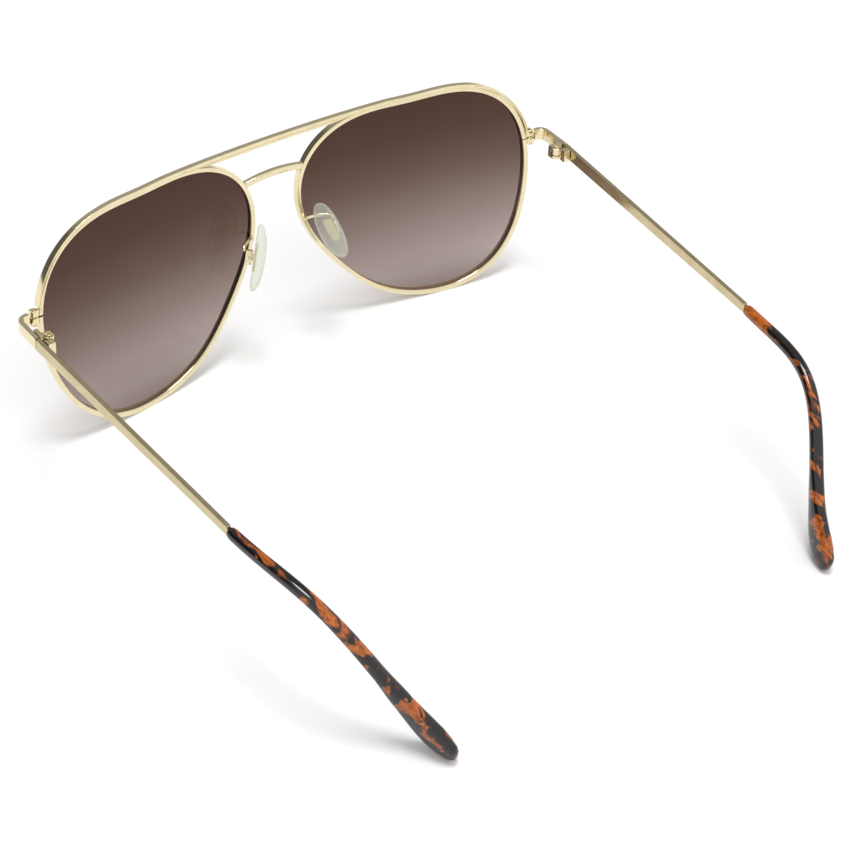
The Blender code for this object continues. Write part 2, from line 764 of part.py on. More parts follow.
def build_temple(name, side, parent):
    """Flat temple strip that thins into a core wire inside the tip."""
    line = (JUNCTION - TEMPLE_START).normalized()
    across = line.cross(UP).normalized()
    up = across.cross(line)
    before = JUNCTION - line * TEMPLE_SHOULDER
    strip = chamfered(STRIP_THICKNESS, STRIP_HEIGHT, EDGE_CUT)
    strip_end = chamfered(STRIP_THICKNESS, TEMPLE_END_HEIGHT, EDGE_CUT)
    sections = [
        placed(strip, TEMPLE_START + line * CLEAR, across, up),
        placed(strip_end, before, across, up),
    ]
    core = chamfered(CORE_THICKNESS, CORE_HEIGHT, EDGE_CUT)
    sections.append(placed(core, JUNCTION - line * CORE_START, across, up))
    for i in range(CORE_STEPS + 1):
        point, side_way, upward = tip_frame(CORE_SHARE * i / CORE_STEPS)
        sections.append(placed(core, point, side_way, upward))
    bm = bmesh.new()
    loft(bm, sections)
    finish(bm, name, side, GOLD, HINGE_AXIS, parent)


# ---------------------------------------------------------------- nose pads
def pad_frame(back=0.0):
    """Frame of the pad: x across, y up along its length, z out of its nose face."""
    return axes_frame(PAD_MIDDLE - PAD_OUT * back, PAD_ACROSS, -PAD_LONG, PAD_OUT)


def build_pad(name, side, parent):
    """Clear pad with a crowned nose face and a pocket in its back for the core plate."""
    frame = pad_frame()
    layers = [
        (PLATE_WIDTH + 3 * CLEAR, PLATE_LENGTH + 3 * CLEAR, POCKET_DEPTH, 0.0, POCKET_POWER),
        (PLATE_WIDTH + 3 * CLEAR, PLATE_LENGTH + 3 * CLEAR, 0.0, 0.0, POCKET_POWER),
    ]
    layers += [(PAD_WIDTH * s, PAD_LENGTH * s, PAD_THICKNESS * h, PAD_BOW * h, PAD_POWER) for h, s in PAD_LAYERS]
    sections = []
    for width, length, height, bow, power in layers:
        section = []
        for x, y in round_section(width, length, PAD_POINTS, power):
            crown = bow * (1 - (2 * y / PAD_LENGTH) ** 2)
            section.append(frame @ Vector((x, y, PAD_BACK + height + crown)))
        sections.append(section)
    bm = bmesh.new()
    loft(bm, sections)
    finish(bm, name, side, CLEAR_PAD, PAD_AXIS, parent)


def build_pad_core(name, side, parent):
    """Metal plate in the pad's back with the stud that the pad screw holds."""
    frame = pad_frame()
    low = PAD_BACK + (POCKET_DEPTH - PLATE_THICKNESS) / 2
    plate = round_section(PLATE_WIDTH, PLATE_LENGTH, PLATE_POINTS, POCKET_POWER)
    bm = bmesh.new()
    prism(bm, plate, low, low + PLATE_THICKNESS, frame)
    item = finish(bm, name, side, GOLD, PAD_AXIS, parent, smooth=False)

    def stud(bm):
        back = -PAD_AXIS_BACK - STUD_BACK
        size = (STUD_WIDTH, STUD_LENGTH, low + PLATE_THICKNESS / 2 - back)
        box(bm, size, frame @ Matrix.Translation((0, 0, back + size[2] / 2)))
    combine(item, f"{name}_stud", "UNION", stud)
    combine(item, f"{name}_hole", "DIFFERENCE", pad_hole())


def pad_hole():
    """Builder of the pad screw's hole."""
    return hole_cutter(PAD_SCREW_RADIUS + SCREW_CLEAR, pad_screw_frame(), PAD_HOLE_REACH)


def pad_screw_frame():
    """Frame of the pad screw: z along its shank, across the pad."""
    return axes_frame(PAD_AXIS, -PAD_LONG, PAD_OUT, PAD_ACROSS)


def build_pad_box(name, side):
    """Channel round the stud: two cheeks and a back."""
    frame = pad_frame(PAD_AXIS_BACK)
    inner = STUD_WIDTH / 2 + CLEAR
    outer = inner + BOX_WALL
    deep = STUD_BACK + 2 * CLEAR
    front = PAD_AXIS_BACK + PAD_BACK - BOX_FRONT_GAP
    plan = [
        (-outer, front), (-outer, -deep - BOX_WALL), (outer, -deep - BOX_WALL), (outer, front),
        (inner, front), (inner, -deep), (-inner, -deep), (-inner, front),
    ]
    turned_frame = axes_frame(frame.translation, PAD_ACROSS, PAD_OUT, PAD_LONG)
    bm = bmesh.new()
    prism(bm, plan, -BOX_LENGTH / 2, BOX_LENGTH / 2, turned_frame)
    item = finish(bm, name, side, GOLD, PAD_AXIS, FRONT, smooth=False)
    combine(item, f"{name}_hole", "DIFFERENCE", pad_hole())


def build_pad_screw(name, side):
    """Tiny screw through the box and the stud."""
    outer = STUD_WIDTH / 2 + CLEAR + BOX_WALL
    head = outer + CLEAR / 2
    face = head + PAD_HEAD_HEIGHT
    profile = (
        (PAD_HEAD_RADIUS, face), (PAD_HEAD_RADIUS, head),
        (PAD_SCREW_RADIUS, head), (PAD_SCREW_RADIUS, -outer),
    )
    build_screw(name, side, profile, face, pad_screw_frame())


def build_pad_arm(name, side):
    """Bent wire from the back of the rim to the back of the pad box."""
    point, normal, _ = edge_frame(PAD_ARM_ANGLE)
    root = front_point(point + normal * RIM_WIDTH / 2, RIM_REAR + CLEAR + ARM_SOLDER)
    end = PAD_AXIS - PAD_OUT * (STUD_BACK + 3 * CLEAR + BOX_WALL + ARM_END_GAP) - PAD_LONG * ARM_LIFT
    handles = (root, root + Vector(ARM_REACH), end - (PAD_OUT + PAD_LONG) * ARM_PULL, end)
    curve = bpy.data.curves.new(name, "CURVE")
    curve.dimensions = "3D"
    curve.bevel_depth = ARM_RADIUS * MM
    curve.bevel_resolution = 2
    curve.use_fill_caps = True
    spline = curve.splines.new("POLY")
    spline.points.add(ARM_STEPS)
    for i, spot in enumerate(spline.points):
        reach = bezier(handles, i / ARM_STEPS) - root
        spot.co = (side * reach.x * MM, reach.y * MM, reach.z * MM, 1.0)
    curve.materials.append(GOLD)
    item = bpy.data.objects.new(name, curve)
    item.location = Vector((side * root.x, root.y, root.z)) * MM
    item.parent = FRONT
    PARTS.objects.link(item)


def bezier(handles, share):
    """Point of a four-handle Bezier curve."""
    rest = 1 - share
    weights = (rest ** 3, 3 * share * rest ** 2, 3 * share ** 2 * rest, share ** 3)
    point = Vector((0.0, 0.0, 0.0))
    for weight, handle in zip(weights, handles):
        point += weight * handle
    return point


# ---------------------------------------------------------------- assembly
def build_side(prefix, side):
    """All pieces of one side."""
    mirror = Vector((side, 1.0, 1.0))
    temple_axis = new_empty(f"{prefix}_temple_axis", HINGE_AXIS * mirror, FRONT)
    pad_axis = new_empty(f"{prefix}_pad_axis", PAD_AXIS * mirror, FRONT)
    build_lens(f"{prefix}_lens", side)
    build_rim(f"{prefix}_rim", side)
    build_lock(prefix, side)
    build_end_piece(f"{prefix}_end_piece", side)
    build_front_hinge(f"{prefix}_front_hinge", side)
    build_hinge_screw(f"{prefix}_hinge_screw", side)
    build_temple_hinge(f"{prefix}_temple_hinge", side, temple_axis)
    build_temple(f"{prefix}_temple", side, temple_axis)
    build_tip(f"{prefix}_temple_tip", side, temple_axis)
    build_pad(f"{prefix}_nose_pad", side, pad_axis)
    build_pad_core(f"{prefix}_pad_core", side, pad_axis)
    build_pad_box(f"{prefix}_pad_box", side)
    build_pad_screw(f"{prefix}_pad_screw", side)
    build_pad_arm(f"{prefix}_pad_arm", side)


def stand_on_table():
    """Move the front's empty so the glasses' box stands with its bottom centre at the origin."""
    bpy.context.view_layer.update()
    graph = bpy.context.evaluated_depsgraph_get()
    corners = []
    for item in PARTS.objects:
        if item.type == "MESH":
            solid = item.evaluated_get(graph)
            corners += [item.matrix_world @ Vector(corner) for corner in solid.bound_box]
    low = [min(corner[i] for corner in corners) for i in range(3)]
    high = [max(corner[i] for corner in corners) for i in range(3)]
    FRONT.location = (-(low[0] + high[0]) / 2, -(low[1] + high[1]) / 2, -low[2])
    size = [round((high[i] - low[i]) / MM, 2) for i in range(3)]
    shift = [round(value / MM, 3) for value in FRONT.location]
    print("size mm", size, "shift mm", shift)
    for label, point in (("hinge", HINGE_AXIS), ("pad axis", PAD_AXIS)):
        print(label, [round(c + s, 3) for c, s in zip(point, shift)])
    print("pad axis direction", [round(c, 5) for c in PAD_ACROSS])


clear_scene()
PARTS = new_collection("aviator_sunglasses", False)
CUTTERS = new_collection("cutters", True)
GOLD = new_material("pale_gold", (0.78, 0.68, 0.42), 1.0, 0.22)
SCREW_METAL = new_material("screw_gold", (0.62, 0.52, 0.33), 1.0, 0.3)
TINTED = new_material("tinted_lens", (0.2, 0.13, 0.11), 0.0, 0.05, 0.85)
TORTOISE = new_material("tortoiseshell_acetate", (0.16, 0.06, 0.02), 0.0, 0.15)
CLEAR_PAD = new_material("clear_pad", (0.85, 0.87, 0.8), 0.0, 0.2, 0.5)
FRONT = new_empty("front_frame", (0, 0, 0))
build_brow_bar()
build_bridge()
build_side("left", 1.0)
build_side("right", -1.0)
stand_on_table()
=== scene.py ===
# %% [markdown]
# # Aviator sunglasses
#
# A metal front holds two tinted lenses. A flat brow bar lies along the rims' upper edges, a short arched
# bridge joins them over the nose, clear pads sit on bent wires, and two temples fold on screw hinges and
# end in tortoiseshell tips. The CAD frame gives every place and size; the cells below make the surfaces
# that are seen.

import json
import math

import bpy
from mathutils import Matrix, Quaternion, Vector


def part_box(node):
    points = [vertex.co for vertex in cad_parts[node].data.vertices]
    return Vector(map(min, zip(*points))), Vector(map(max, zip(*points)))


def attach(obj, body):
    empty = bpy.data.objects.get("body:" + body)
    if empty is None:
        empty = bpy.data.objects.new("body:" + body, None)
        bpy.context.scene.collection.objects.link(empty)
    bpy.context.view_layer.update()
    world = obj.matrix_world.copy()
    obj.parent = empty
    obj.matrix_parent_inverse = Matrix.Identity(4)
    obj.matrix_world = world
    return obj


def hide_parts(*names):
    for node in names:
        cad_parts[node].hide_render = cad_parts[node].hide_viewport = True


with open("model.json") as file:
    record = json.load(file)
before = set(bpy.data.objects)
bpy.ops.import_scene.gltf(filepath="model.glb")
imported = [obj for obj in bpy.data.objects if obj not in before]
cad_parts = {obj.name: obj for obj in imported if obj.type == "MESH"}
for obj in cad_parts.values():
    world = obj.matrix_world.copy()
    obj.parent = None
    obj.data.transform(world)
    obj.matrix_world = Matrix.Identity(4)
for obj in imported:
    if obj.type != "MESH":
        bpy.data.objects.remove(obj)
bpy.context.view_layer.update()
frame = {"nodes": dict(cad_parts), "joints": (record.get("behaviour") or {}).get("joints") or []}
MM = 0.001

# %% [markdown]
# ## The shape of the front
#
# An aviator lens is a drop: nearly a circle, pulled down and outwards. A circle whose radius swells by a
# few cosines and sines gives that outline as one smooth formula, so rims, lenses and brow bar can all
# follow it at any fineness. The same surface formula bends the front round the face and leans it back.

# %% Lens outline and face surface
LENS_RADIUS = 27.3 * MM
LENS_HARMONICS = ((2, 0.0916, -0.0482), (3, -0.0244, 0.0602), (4, -0.0185, -0.0115), (5, -0.0017, 0.0068))
LENS_GAP = 14.0 * MM
RIM_WIDTH = 1.1 * MM
RIM_DEPTH = 1.7 * MM
RIM_REAR = 0.2 * MM
FACE_WRAP = 1.9
FACE_TILT = -0.1936
FACE_BOW = 3.7
OUTLINE_STEPS = 720
EDGE_STEP = 0.004


def outline_offset(angle):
    """Point of the lens outline at an angle, from the lens's middle."""
    share = 1.0
    for order, cosine, sine in LENS_HARMONICS:
        share += cosine * math.cos(order * angle) + sine * math.sin(order * angle)
    return Vector((math.cos(angle), math.sin(angle))) * LENS_RADIUS * share


round_trip = [outline_offset(math.tau * i / OUTLINE_STEPS) for i in range(OUTLINE_STEPS)]
LENS_X = LENS_GAP / 2 - min(p.x for p in round_trip)
LENS_Z = RIM_WIDTH - min(p.y for p in round_trip)
LENS_MIDDLE = Vector((LENS_X, LENS_Z))


def edge_frame(angle):
    """Point on the outline, the direction out of the lens and the direction along its edge."""
    along = (outline_offset(angle + EDGE_STEP) - outline_offset(angle - EDGE_STEP)).normalized()
    return LENS_MIDDLE + outline_offset(angle), Vector((along.y, -along.x)), along


def face_y(x, z):
    """How far back the wrapped and leaning front lies at a place on it."""
    rise = z - LENS_Z
    return FACE_WRAP * x * x + FACE_TILT * rise + FACE_BOW * rise * rise


LOCK_ANGLE = math.radians(12.5)
LOCK_POINT = edge_frame(LOCK_ANGLE)[0]
HINGE_BEHIND_LOCK = 8.72 * MM
hinge = next(joint for joint in frame["joints"] if joint["name"] == "left_temple_fold")
HINGE = Vector(hinge["pos_m"])
SETBACK = HINGE.y - HINGE_BEHIND_LOCK - face_y(*LOCK_POINT)
cad_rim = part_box("left_rim")
print("rim formula and CAD, outermost x in mm:",
      [round(v / MM, 2) for v in (max(LENS_X + p.x for p in round_trip) + RIM_WIDTH, cad_rim[1].x)])


def on_front(flat, depth=0.0):
    """Sets a flat (x, z) point on the bent front, depth behind it."""
    return Vector((flat.x, face_y(abs(flat.x), flat.y) + depth + SETBACK, flat.y))


# %% [markdown]
# ## Helpers
#
# Most wires here keep one cross-section while they follow a bent path. A grid primitive wrapped round the
# path does that: its columns go round the section, its rows go along, and merging the doubles closes the
# seam. The left half is shaped once and mirrored, so each helper takes a side.

# %% Selecting, lofting and finishing
SIDES = ((1.0, "left"), (-1.0, "right"))
LOFT_MERGE = 1e-7


def deselect():
    if bpy.context.object is not None and bpy.context.object.mode != "OBJECT":
        bpy.ops.object.mode_set(mode="OBJECT")
    bpy.ops.object.select_all(action="DESELECT")


def alone(piece):
    deselect()
    piece.select_set(True)
    bpy.context.view_layer.objects.active = piece
    return piece


def settle(piece, name, side=1.0, smooth=30):
    """Applies the piece's place, mirrors it for the right side and turns its faces outwards."""
    alone(piece)
    piece.name = name
    piece.data.name = name
    bpy.ops.object.transform_apply(location=True, rotation=True, scale=True)
    if side < 0:
        piece.data.transform(Matrix.Diagonal((-1.0, 1.0, 1.0, 1.0)))
    bpy.ops.object.mode_set(mode="EDIT")
    bpy.ops.mesh.select_all(action="SELECT")
    bpy.ops.mesh.normals_make_consistent(inside=False)
    bpy.ops.object.mode_set(mode="OBJECT")
    bpy.ops.object.shade_smooth_by_angle(angle=math.radians(smooth))
    return piece


def loft(name, sections, side=1.0, smooth=30):
    """Wraps a grid through a row of sections and closes its seam and its two ends."""
    columns, rows = len(sections[0]), len(sections) - 1
    deselect()
    bpy.ops.mesh.primitive_grid_add(x_subdivisions=columns, y_subdivisions=rows, size=1.0)
    piece = bpy.context.object
    for vert in piece.data.vertices:
        column = round((vert.co.x + 0.5) * columns) % columns
        row = round((vert.co.y + 0.5) * rows)
        vert.co = sections[row][column]
    bpy.ops.object.mode_set(mode="EDIT")
    bpy.ops.mesh.select_all(action="SELECT")
    bpy.ops.mesh.remove_doubles(threshold=LOFT_MERGE)
    bpy.ops.mesh.fill_holes(sides=0)
    return settle(piece, name, side, smooth)


def wear(piece, body, material, slot, *nodes):
    """Gives a finished piece its material and its body and hides the CAD nodes it stands for; slot is not
    used.
    """
    piece.data.materials.clear()
    piece.data.materials.append(material)
    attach(piece, body)
    if nodes:
        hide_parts(*nodes)
    print(piece.name, "has", len(piece.data.polygons), "faces")
    return piece


def rounded(corners, radius, steps=5):
    """Closed outline of (a, b) corners with every corner rounded."""
    points = []
    for i, corner in enumerate(corners):
        here = Vector(corner)
        ends = []
        for other in (corners[i - 1], corners[(i + 1) % len(corners)]):
            arm = Vector(other) - here
            ends.append(here + arm.normalized() * min(radius, arm.length * 0.45))
        for k in range(steps + 1):
            share = k / steps
            points.append(ends[0] * (1 - share) ** 2 + here * 2 * share * (1 - share) + ends[1] * share ** 2)
    return points


def plate_section(thick, tall, radius, steps=5):
    """Rounded rectangle about its middle, as (across, up) pairs."""
    a, b = thick / 2, tall / 2
    return rounded(((a, b), (-a, b), (-a, -b), (a, -b)), radius, steps)


def oval_section(width, height, count, power=2.4):
    """Oval that is fuller than an ellipse, as (across, up) pairs."""
    pairs = []
    for i in range(count):
        c, s = math.cos(math.tau * i / count), math.sin(math.tau * i / count)
        across = math.copysign(abs(c) ** (2 / power), c) * width / 2
        pairs.append(Vector((across, math.copysign(abs(s) ** (2 / power), s) * height / 2)))
    return pairs


def set_down(pairs, point, across, up):
    """Places a section's (across, up) pairs about a point."""
    return [point + across * pair[0] + up * pair[1] for pair in pairs]


def bezier(controls, share):
    """Point at a share of the Bezier curve through these control points."""
    order = len(controls) - 1
    point = Vector((0, 0, 0))
    for i, control in enumerate(controls):
        point += math.comb(order, i) * share ** i * (1 - share) ** (order - i) * control
    return point


# %% [markdown]
# ## Finishes
#
# The metal is brass under a pale champagne plating: fully metallic, light and slightly warm, with faint
# polishing lines and a little uneven gloss. The lens is a tint, so it multiplies what is seen through it
# and mirrors a few per cent at its faces. Tortoiseshell acetate is layered: dark flakes over a glowing
# amber ground.

# %% Node helpers
MIX_SHARE, MIX_FIRST, MIX_SECOND, MIX_COLOUR = 0, 6, 7, 2


def new_material(name):
    material = bpy.data.materials.new(name)
    material.use_nodes = True
    tree = material.node_tree
    return material, tree, tree.nodes["Principled BSDF"]


def node(tree, kind, **settings):
    made = tree.nodes.new(kind)
    for key, value in settings.items():
        if key in made.inputs:
            made.inputs[key].default_value = value
        else:
            setattr(made, key, value)
    return made


def object_coordinates(tree, scale=(1, 1, 1), location=(0, 0, 0), rotation=(0, 0, 0)):
    place = node(tree, "ShaderNodeTexCoord")
    mapping = node(tree, "ShaderNodeMapping")
    mapping.inputs["Location"].default_value = location
    mapping.inputs["Rotation"].default_value = rotation
    mapping.inputs["Scale"].default_value = scale
    tree.links.new(place.outputs["Object"], mapping.inputs["Vector"])
    return mapping.outputs["Vector"]


def ramp(tree, stops, source, smooth=False):
    made = node(tree, "ShaderNodeValToRGB")
    if smooth:
        made.color_ramp.interpolation = "EASE"
    elements = made.color_ramp.elements
    while len(elements) < len(stops):
        elements.new(0.5)
    for element, (place, colour) in zip(elements, stops):
        element.position = place
        element.color = (*colour, 1.0)
    tree.links.new(source, made.inputs["Fac"])
    return made.outputs["Color"]


def map_range(tree, source, old=(0.0, 1.0), new=(0.0, 1.0), kind="LINEAR"):
    made = node(tree, "ShaderNodeMapRange", interpolation_type=kind)
    for socket, value in zip(("From Min", "From Max", "To Min", "To Max"), (*old, *new)):
        made.inputs[socket].default_value = value
    tree.links.new(source, made.inputs["Value"])
    return made.outputs["Result"]


def arithmetic(tree, operation, first, second):
    """Joins a socket with another socket or with a number."""
    made = node(tree, "ShaderNodeMath", operation=operation)
    tree.links.new(first, made.inputs[0])
    if isinstance(second, float):
        made.inputs[1].default_value = second
    else:
        tree.links.new(second, made.inputs[1])
    return made.outputs["Value"]


def blend_surface(tree, share, through, shader):
    """Shows a clear shader and a solid one together as the material's surface."""
    mix = node(tree, "ShaderNodeMixShader")
    tree.links.new(share, mix.inputs["Fac"])
    tree.links.new(through.outputs["BSDF"], mix.inputs[1])
    tree.links.new(shader.outputs["BSDF"], mix.inputs[2])
    output = next(n for n in tree.nodes if n.type == "OUTPUT_MATERIAL")
    tree.links.new(mix.outputs["Shader"], output.inputs["Surface"])


# %% Plated metal
POLISH_SCALE = (900, 900, 5200)


def plated_metal(name, colour, deep, gloss, dull):
    material, tree, shader = new_material(name)
    shader.inputs["Metallic"].default_value = 1.0
    clouds = node(tree, "ShaderNodeTexNoise", Scale=260.0, Detail=5.0, Roughness=0.6)
    tree.links.new(object_coordinates(tree), clouds.inputs["Vector"])
    tint = ramp(tree, ((0.3, deep), (0.62, colour)), clouds.outputs["Fac"])
    tree.links.new(tint, shader.inputs["Base Color"])
    lines = node(tree, "ShaderNodeTexNoise", Scale=1.0, Detail=4.0, Roughness=0.7)
    tree.links.new(object_coordinates(tree, POLISH_SCALE), lines.inputs["Vector"])
    spread = map_range(tree, lines.outputs["Fac"], new=(gloss, dull))
    tree.links.new(spread, shader.inputs["Roughness"])
    bump = node(tree, "ShaderNodeBump", Strength=0.05, Distance=0.00001)
    tree.links.new(lines.outputs["Fac"], bump.inputs["Height"])
    tree.links.new(bump.outputs["Normal"], shader.inputs["Normal"])
    return material


GOLD = plated_metal("pale_gold_plating", (0.83, 0.73, 0.49), (0.77, 0.66, 0.42), 0.07, 0.2)
# The temples wear the same plating, darkened: a painted shade that makes their strips read tan.
SHADED_TEMPLE_GOLD = plated_metal("temple_plating_painted_shade", (0.62, 0.53, 0.33), (0.55, 0.46, 0.28), 0.12, 0.28)
SCREW_GOLD = plated_metal("screw_plating", (0.80, 0.70, 0.47), (0.66, 0.56, 0.36), 0.14, 0.3)


# %% Gradient lens tint
COATED_SHARE = 0.35
TINT_TOP = 0.052


def lens_tint(name):
    material, tree, shader = new_material(name)
    height = node(tree, "ShaderNodeSeparateXYZ")
    tree.links.new(object_coordinates(tree), height.inputs["Vector"])
    share = map_range(tree, height.outputs["Z"], old=(0.0, TINT_TOP))
    stops = (
        (0.115, (0.70, 0.645, 0.63)), (0.192, (0.64, 0.575, 0.56)), (0.385, (0.50, 0.43, 0.405)),
        (0.577, (0.365, 0.285, 0.258)), (0.769, (0.281, 0.194, 0.162)), (0.942, (0.25, 0.157, 0.128)),
    )
    tint = ramp(tree, stops, share)
    through = node(tree, "ShaderNodeBsdfTransparent")
    tree.links.new(tint, through.inputs["Color"])
    shader.inputs["Base Color"].default_value = (1.0, 1.0, 1.0, 1.0)
    shader.inputs["Metallic"].default_value = 1.0
    shader.inputs["Roughness"].default_value = 0.015
    mirror = node(tree, "ShaderNodeFresnel", IOR=1.5)
    side_seen = node(tree, "ShaderNodeNewGeometry")
    coated = map_range(tree, side_seen.outputs["Backfacing"], new=(COATED_SHARE, 0.0))
    blend_surface(tree, arithmetic(tree, "MULTIPLY", mirror.outputs["Fac"], coated), through, shader)
    return material


LENS_TINT = lens_tint("gradient_brown_tint")


# %% Tortoiseshell acetate
FLAKE_SCALE = (430, 135, 300)
FLAKE_TURN = (0.5, 0.0, 0.15)
FADE_START, FADE_END = 0.019, 0.032
AMBER_STOPS = (
    (0.0, (0.44, 0.13, 0.008)),
    (0.4, (0.50, 0.13, 0.006)),
    (0.6, (0.24, 0.045, 0.004)),
    (1.0, (0.06, 0.012, 0.004)),
)
FLAKE_STOPS = ((0.38, (0.0, 0.0, 0.0)), (0.48, (1.0, 1.0, 1.0)))
FLAKE_COLOUR = (0.006, 0.003, 0.003, 1.0)


def tortoiseshell(name, shift, clear_start):
    """Acetate with dark flakes; clear_start says how much amber shows where the tip begins."""
    material, tree, shader = new_material(name)
    large = object_coordinates(tree, FLAKE_SCALE, shift, FLAKE_TURN)
    warp = node(tree, "ShaderNodeTexNoise", Scale=1.1, Detail=2.0, Roughness=0.5, Distortion=0.6)
    tree.links.new(large, warp.inputs["Vector"])
    small = node(tree, "ShaderNodeTexNoise", Scale=3.4, Detail=4.0, Roughness=0.6, Distortion=1.2)
    tree.links.new(large, small.inputs["Vector"])
    glow = ramp(tree, AMBER_STOPS, small.outputs["Fac"])
    along = node(tree, "ShaderNodeSeparateXYZ")
    tree.links.new(object_coordinates(tree), along.inputs["Vector"])
    fade = map_range(tree, along.outputs["Y"], (FADE_START, FADE_END), (-clear_start, 0.0), "SMOOTHSTEP")
    flakes = ramp(tree, FLAKE_STOPS, arithmetic(tree, "ADD", warp.outputs["Fac"], fade), True)
    mix = node(tree, "ShaderNodeMix", data_type="RGBA")
    mix.inputs[MIX_SECOND].default_value = FLAKE_COLOUR
    tree.links.new(flakes, mix.inputs[MIX_SHARE])
    tree.links.new(glow, mix.inputs[MIX_FIRST])
    tree.links.new(mix.outputs[MIX_COLOUR], shader.inputs["Base Color"])
    shader.inputs["Roughness"].default_value = 0.12
    shader.inputs["Coat Weight"].default_value = 0.25
    shader.inputs["Coat Roughness"].default_value = 0.05
    ripple = node(tree, "ShaderNodeTexNoise", Scale=420.0, Detail=2.0)
    tree.links.new(object_coordinates(tree), ripple.inputs["Vector"])
    bump = node(tree, "ShaderNodeBump", Strength=0.06, Distance=0.00003)
    tree.links.new(ripple.outputs["Fac"], bump.inputs["Height"])
    tree.links.new(bump.outputs["Normal"], shader.inputs["Normal"])
    return material


TORTOISE = {
    1.0: tortoiseshell("left_tortoiseshell", (3.1, 7.4, 1.2), 0.0),
    -1.0: tortoiseshell("right_tortoiseshell", (8.6, 2.9, 5.3), 0.3),
}


# %% Clear pad plastic
MILK_FACING, MILK_EDGE = 0.14, 0.62


def clear_plastic(name):
    material, tree, shader = new_material(name)
    cloud = node(tree, "ShaderNodeTexNoise", Scale=380.0, Detail=3.0)
    tree.links.new(object_coordinates(tree), cloud.inputs["Vector"])
    milk = ramp(tree, ((0.3, (0.70, 0.74, 0.68)), (0.7, (0.86, 0.88, 0.82))), cloud.outputs["Fac"])
    tree.links.new(milk, shader.inputs["Base Color"])
    shader.inputs["Roughness"].default_value = 0.16
    shader.inputs["Coat Weight"].default_value = 0.3
    through = node(tree, "ShaderNodeBsdfTransparent")
    through.inputs["Color"].default_value = (0.93, 0.94, 0.88, 1.0)
    facing = node(tree, "ShaderNodeLayerWeight", Blend=0.35)
    share = map_range(tree, facing.outputs["Facing"], new=(MILK_FACING, MILK_EDGE))
    blend_surface(tree, share, through, shader)
    return material


CLEAR_PLASTIC = clear_plastic("clear_pad_plastic")

# %% [markdown]
# ## Lenses
#
# A sunglass lens is a thin shell with parallel faces and a bevelled edge that snaps into the rim's
# groove. Rings that shrink towards the middle follow both faces, and the rings at the edge make the
# bevel. A layer is a share of the outline, how many millimetres it grows by, and its depth as a share of
# half the thickness.

# %% Lenses
LENS_HALF = 0.6 * MM
LENS_FORWARD = 0.2 * MM
LENS_DEEP = RIM_REAR - RIM_DEPTH / 2 - LENS_FORWARD
LENS_FACE = (0.02, 0.2, 0.4, 0.6, 0.8, 0.93)
LENS_LAYERS = [(share, 0.0, -1.0) for share in LENS_FACE]
LENS_LAYERS += [
    (1.0, -0.03, -1.0), (1.0, 0.0, -0.92), (1.0, 0.0, -0.55), (1.0, 0.3, 0.0),
    (1.0, 0.0, 0.55), (1.0, 0.0, 0.92), (1.0, -0.03, 1.0),
]
LENS_LAYERS += [(share, 0.0, 1.0) for share in reversed(LENS_FACE)]
LENS_STEPS = 288


def lens(side, prefix):
    edge = [edge_frame(math.tau * i / LENS_STEPS) for i in range(LENS_STEPS)]
    sections = []
    for share, grow, depth in LENS_LAYERS:
        flats = [LENS_MIDDLE + (p + n * grow * MM - LENS_MIDDLE) * share for p, n, _ in edge]
        sections.append([on_front(flat, LENS_DEEP + depth * LENS_HALF) for flat in flats])
    piece = loft(f"{prefix}_tinted_lens", sections, side, 40)
    wear(piece, "front", LENS_TINT, "lens", f"{prefix}_lens")


for side, prefix in SIDES:
    lens(side, prefix)

# %% [markdown]
# ## Rims
#
# The rim is drawn wire with a groove rolled into its inner side. It goes once round the lens and stops at
# the closing block, where a screw draws the two ends together.

# %% Rims
RIM_STEPS = 320
GROOVE = 0.55 * MM
GROOVE_MOUTH = 0.45 * MM
GROOVE_FLOOR = 0.2 * MM
RIM_ROUNDING = 0.16 * MM
LOCK_SEAM = 0.4 * MM


def rim(side, prefix):
    front = RIM_REAR - RIM_DEPTH
    body = rounded(((0, front), (RIM_WIDTH, front), (RIM_WIDTH, RIM_REAR), (0, RIM_REAR)), RIM_ROUNDING)
    walls = ((0, GROOVE_MOUTH), (GROOVE, GROOVE_FLOOR), (GROOVE, -GROOVE_FLOOR), (0, -GROOVE_MOUTH))
    groove = [Vector((a, LENS_DEEP + b)) for a, b in walls]
    opening = LOCK_SEAM / 2 / outline_offset(LOCK_ANGLE).length
    sections = []
    for i in range(RIM_STEPS + 1):
        angle = LOCK_ANGLE + opening + (math.tau - 2 * opening) * i / RIM_STEPS
        point, out, _ = edge_frame(angle)
        sections.append([on_front(point + out * a, b) for a, b in body + groove])
    piece = loft(f"{prefix}_rim_wire", sections, side, 40)
    wear(piece, "front", GOLD, "frame", f"{prefix}_rim")


for side, prefix in SIDES:
    rim(side, prefix)

# %% [markdown]
# ## Brow bar and bridge
#
# The brow bar is a flat strip that lies on both rims, follows their upper curve down to the closing
# blocks and runs straight over the nose, where it is taller and has a fine line along its rear face. The
# bridge below it is a short arched wire.

# %% Brow bar
BROW_HEIGHT = 0.95 * MM
BROW_MIDDLE_HEIGHT = 1.65 * MM
BROW_END_HEIGHT = 0.45 * MM
BROW_DEPTH = 1.3 * MM
BROW_END_DEPTH = 2.2 * MM
BROW_SAG = 0.4 * MM
BROW_END = math.radians(16.6)
BROW_LEAVE = math.radians(109)
BROW_BACK = RIM_REAR + 0.6 * MM
BROW_ROUNDING = 0.14 * MM
LINE_HALF = 0.07 * MM
LINE_DEPTH = 0.16 * MM
BROW_GAP = 0.13 * MM
BROW_TALL_FROM = 0.45
RIM_STATIONS = 120
NOSE_STATIONS = 40


